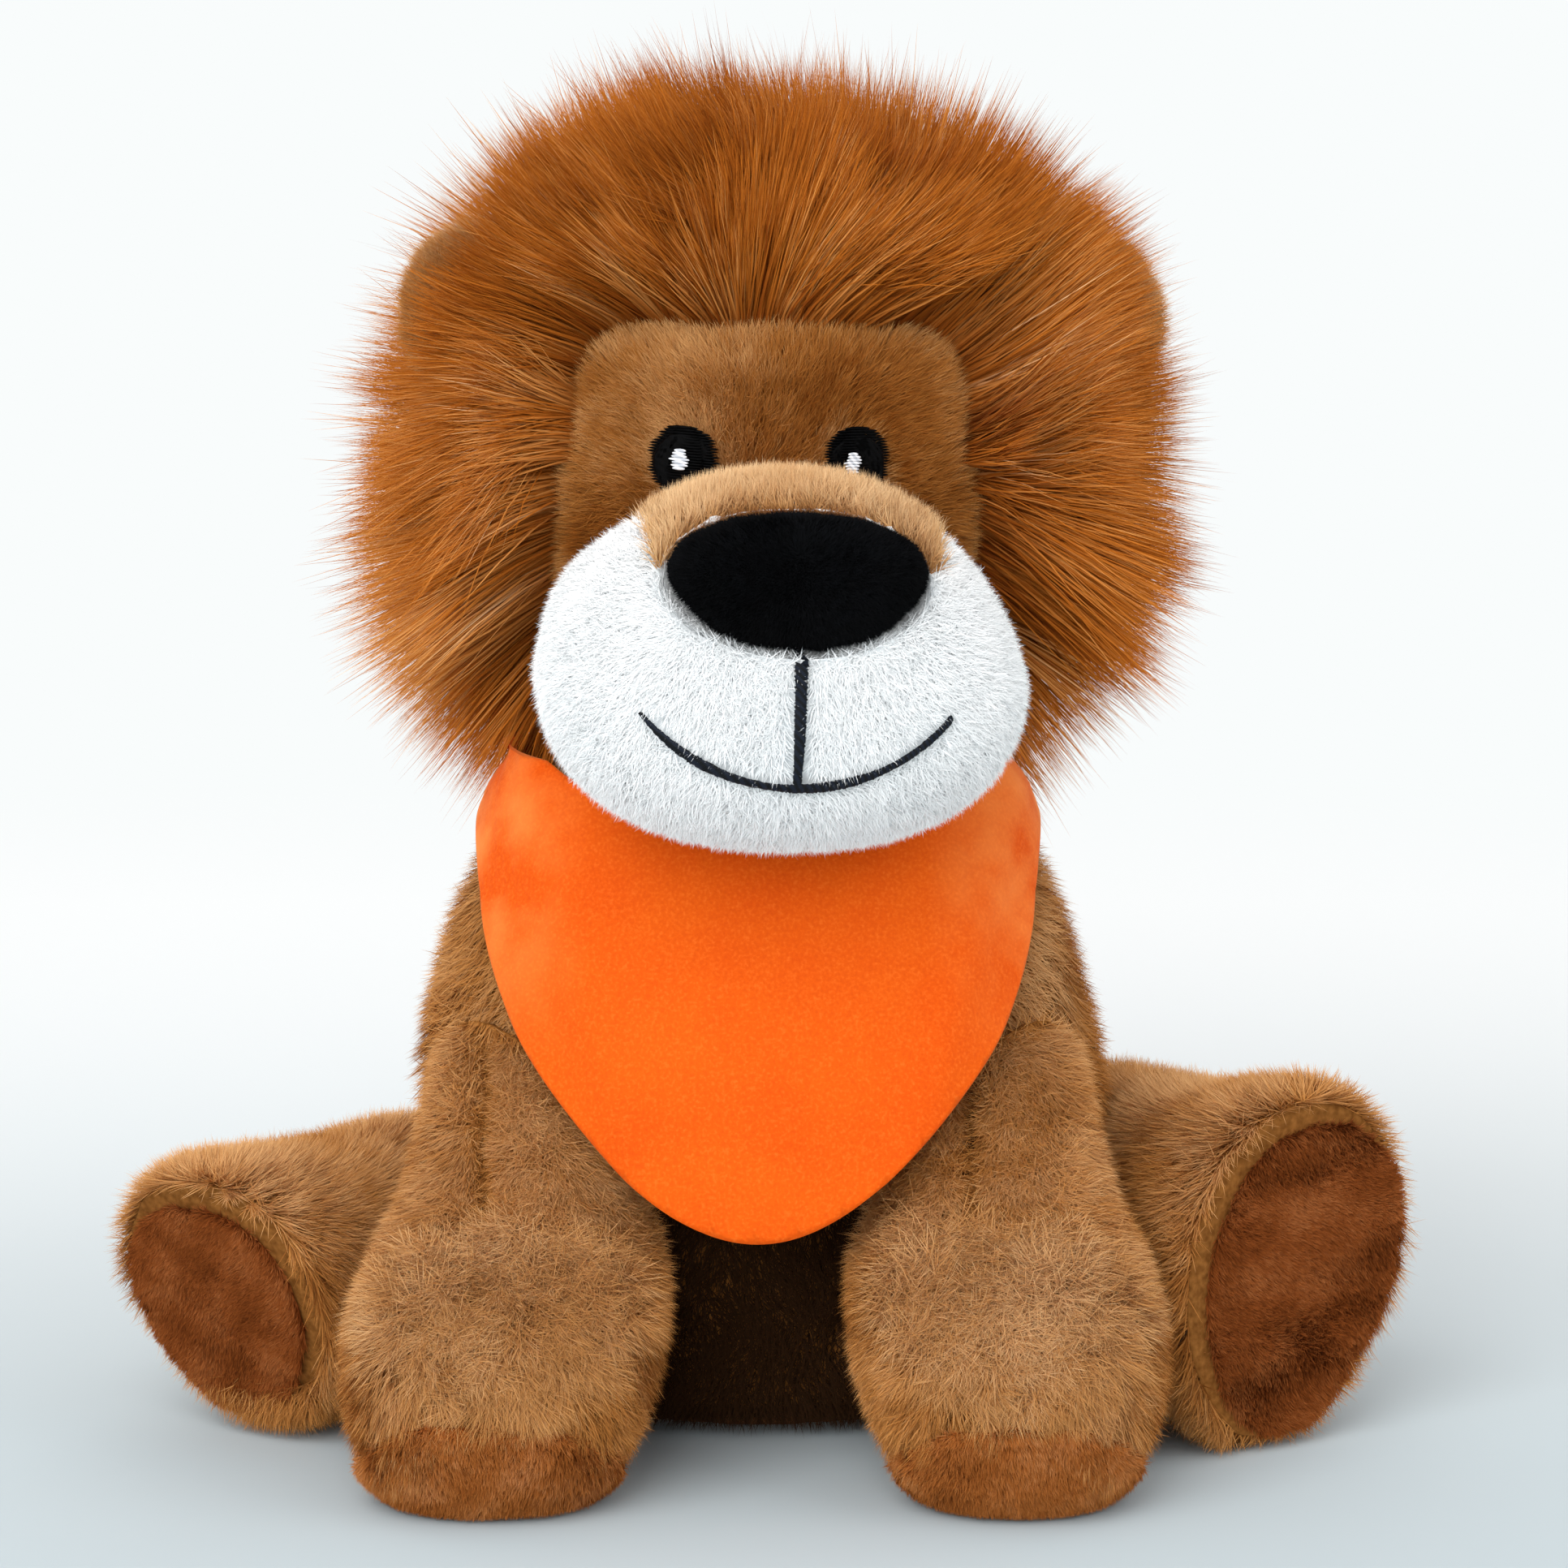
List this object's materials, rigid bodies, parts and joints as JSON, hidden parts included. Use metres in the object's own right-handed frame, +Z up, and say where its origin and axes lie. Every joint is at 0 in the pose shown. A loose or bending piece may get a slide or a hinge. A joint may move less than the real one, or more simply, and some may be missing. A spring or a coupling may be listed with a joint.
{
  "type": "plush lion",
  "caption": "Seated plush lion with a long-pile mane, a white muzzle, embroidered eyes and smile, and a velvet bandana; the head, legs, ears and tail bend at their seams.",
  "frame": {"origin": "middle of the flat seat panel, on the surface that the toy sits on", "axes": "+Z up, -Y the way the lion faces, +X to the right as seen from the front"},
  "size_m": [0.2039, 0.1966, 0.2139],
  "materials": {
    "short_pile": "short brown plush pile",
    "light_pile": "short light tan plush pile",
    "white_pile": "short white plush pile",
    "black_pile": "short black plush pile",
    "dark_pile": "short dark brown plush pile",
    "mane_pile": "long orange-brown plush pile",
    "rust_nap": "rust velvet with a short nap",
    "orange_velvet": "orange velvet with a short nap",
    "black_thread": "black satin-stitch thread",
    "white_thread": "white satin-stitch thread",
    "fibre_fill": "loose polyester fibre",
    "bag_cloth": "plain woven bag of plastic pellets"
  },
  "bodies": {
    "body": {"body_cover": "short_pile", "body_stuffing": "fibre_fill", "pellet_bag": "bag_cloth", "seat_panel": "short_pile", "bandana": "orange_velvet", "bandana_knot": "orange_velvet"},
    "neck": {"neck_plug": "fibre_fill"},
    "head": {"head_stuffing": "fibre_fill", "forehead_panel": "short_pile", "muzzle_cover": "white_pile", "muzzle_stuffing": "fibre_fill", "muzzle_bridge": "light_pile", "nose": "black_pile", "lip_line": "black_thread", "smile_line": "black_thread", "mane_left": "mane_pile", "mane_right": "mane_pile", "mane_back": "mane_pile", "eye_left": "black_thread", "eye_light_left": "white_thread", "eye_right": "black_thread", "eye_light_right": "white_thread"},
    "ear_left": {"ear_back_left": "light_pile", "ear_lining_left": "dark_pile"},
    "ear_right": {"ear_back_right": "light_pile", "ear_lining_right": "dark_pile"},
    "front_leg_left": {"front_leg_left_sleeve": "short_pile", "front_leg_left_paw_top": "light_pile", "front_leg_left_paw_pad": "rust_nap", "front_leg_left_stuffing": "fibre_fill"},
    "front_leg_right": {"front_leg_right_sleeve": "short_pile", "front_leg_right_paw_top": "light_pile", "front_leg_right_paw_pad": "rust_nap", "front_leg_right_stuffing": "fibre_fill"},
    "hind_leg_left": {"hind_leg_left_sleeve": "short_pile", "hind_leg_left_sole": "rust_nap", "hind_leg_left_stuffing": "fibre_fill"},
    "hind_leg_right": {"hind_leg_right_sleeve": "short_pile", "hind_leg_right_sole": "rust_nap", "hind_leg_right_stuffing": "fibre_fill"},
    "tail": {"tail_sleeve": "short_pile", "tail_tuft": "mane_pile"}
  },
  "joints": [
    {"name": "neck_turn", "type": "hinge", "parent": "body", "child": "neck", "pos_m": [-0.001, 0, 0.112], "axis": [0, 0, 1], "range_deg": [-20, 20], "stiffness_Nm_per_rad": 0.15},
    {"name": "head_nod", "type": "hinge", "parent": "neck", "child": "head", "pos_m": [-0.001, 0, 0.112], "axis": [-0.9962, -0.0872, 0], "range_deg": [0, 15], "stiffness_Nm_per_rad": 0.2},
    {"name": "ear_fold_left", "type": "hinge", "parent": "head", "child": "ear_left", "pos_m": [-0.03171, 0.00233, 0.17382], "axis": [0.2748, 0.1187, 0.9542], "range_deg": [-15, 15], "stiffness_Nm_per_rad": 0.01},
    {"name": "ear_fold_right", "type": "hinge", "parent": "head", "child": "ear_right", "pos_m": [0.038, 0.00843, 0.17198], "axis": [0.2411, -0.0735, -0.9677], "range_deg": [-15, 15], "stiffness_Nm_per_rad": 0.01},
    {"name": "shoulder_left", "type": "hinge", "parent": "body", "child": "front_leg_left", "pos_m": [-0.05, -0.03, 0.077], "axis": [-0.766, 0.6428, 0], "range_deg": [0, 15], "stiffness_Nm_per_rad": 0.1},
    {"name": "shoulder_right", "type": "hinge", "parent": "body", "child": "front_leg_right", "pos_m": [0.05, -0.03, 0.077], "axis": [-0.766, -0.6428, 0], "range_deg": [0, 15], "stiffness_Nm_per_rad": 0.1},
    {"name": "hip_left", "type": "hinge", "parent": "body", "child": "hind_leg_left", "pos_m": [-0.04, 0.038, 0.02], "axis": [0, 0, -1], "range_deg": [0, 20], "stiffness_Nm_per_rad": 0.1},
    {"name": "hip_right", "type": "hinge", "parent": "body", "child": "hind_leg_right", "pos_m": [0.04, 0.038, 0.02], "axis": [0, 0, 1], "range_deg": [0, 20], "stiffness_Nm_per_rad": 0.1},
    {"name": "tail_swing", "type": "hinge", "parent": "body", "child": "tail", "pos_m": [0, 0.04, 0.005], "axis": [0, 0, 1], "range_deg": [-25, 25], "stiffness_Nm_per_rad": 0.01}
  ]
}
